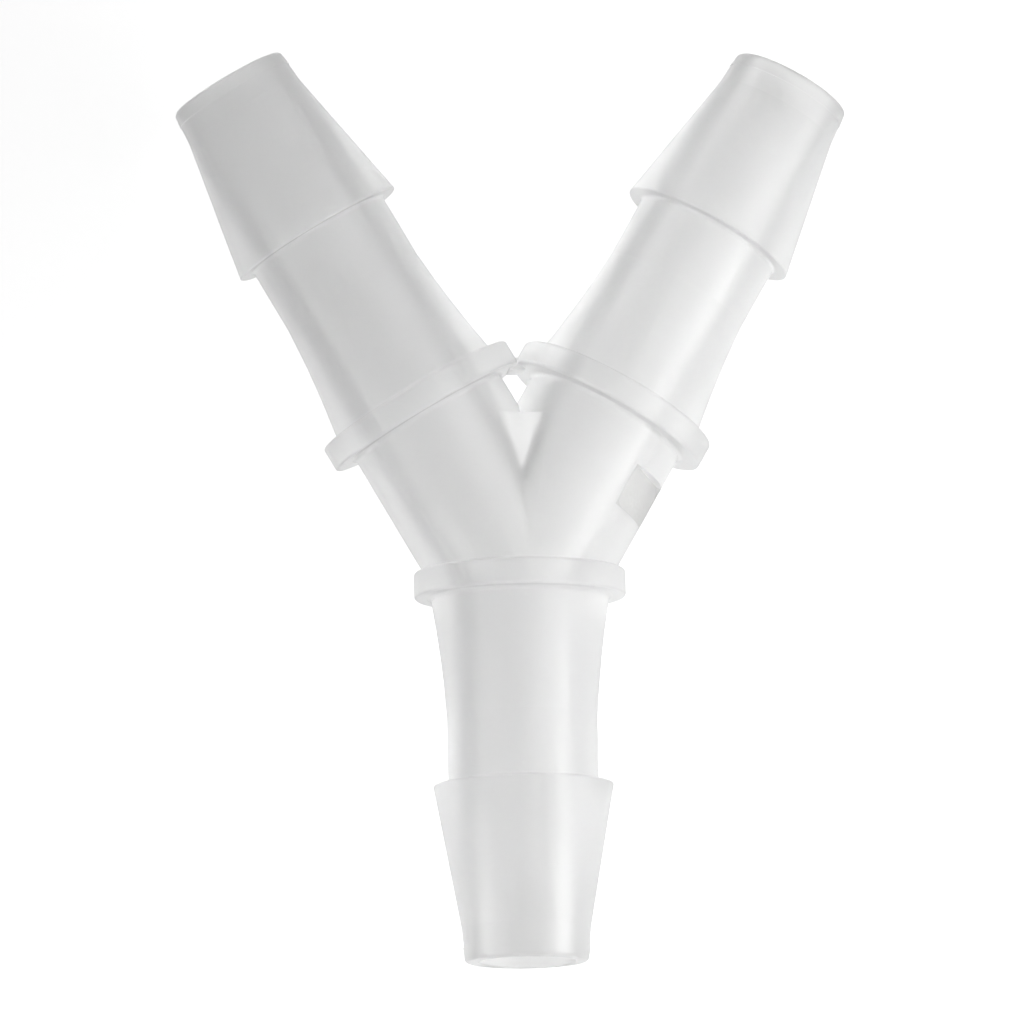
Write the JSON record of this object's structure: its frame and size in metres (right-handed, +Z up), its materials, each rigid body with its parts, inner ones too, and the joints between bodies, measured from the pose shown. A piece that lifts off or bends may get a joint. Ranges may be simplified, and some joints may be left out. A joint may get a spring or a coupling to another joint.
{
  "type": "tubing y connector",
  "caption": "Moulded Y connector that joins flexible tubing: hose barbs with stop collars on a forked body, with a through bore in each leg.",
  "frame": {"origin": "under the middle of the part's length and width, on the surface that the three collars rest on", "axes": "+Y from the stem towards the gap between the two arms, +Z up, square to the plane of the three legs, +X towards the right arm"},
  "size_m": [0.045, 0.061, 0.0141],
  "materials": {
    "natural_polypropylene": "satin"
  },
  "bodies": {
    "root": {"y_connector_body": "natural_polypropylene"}
  },
  "joints": []
}
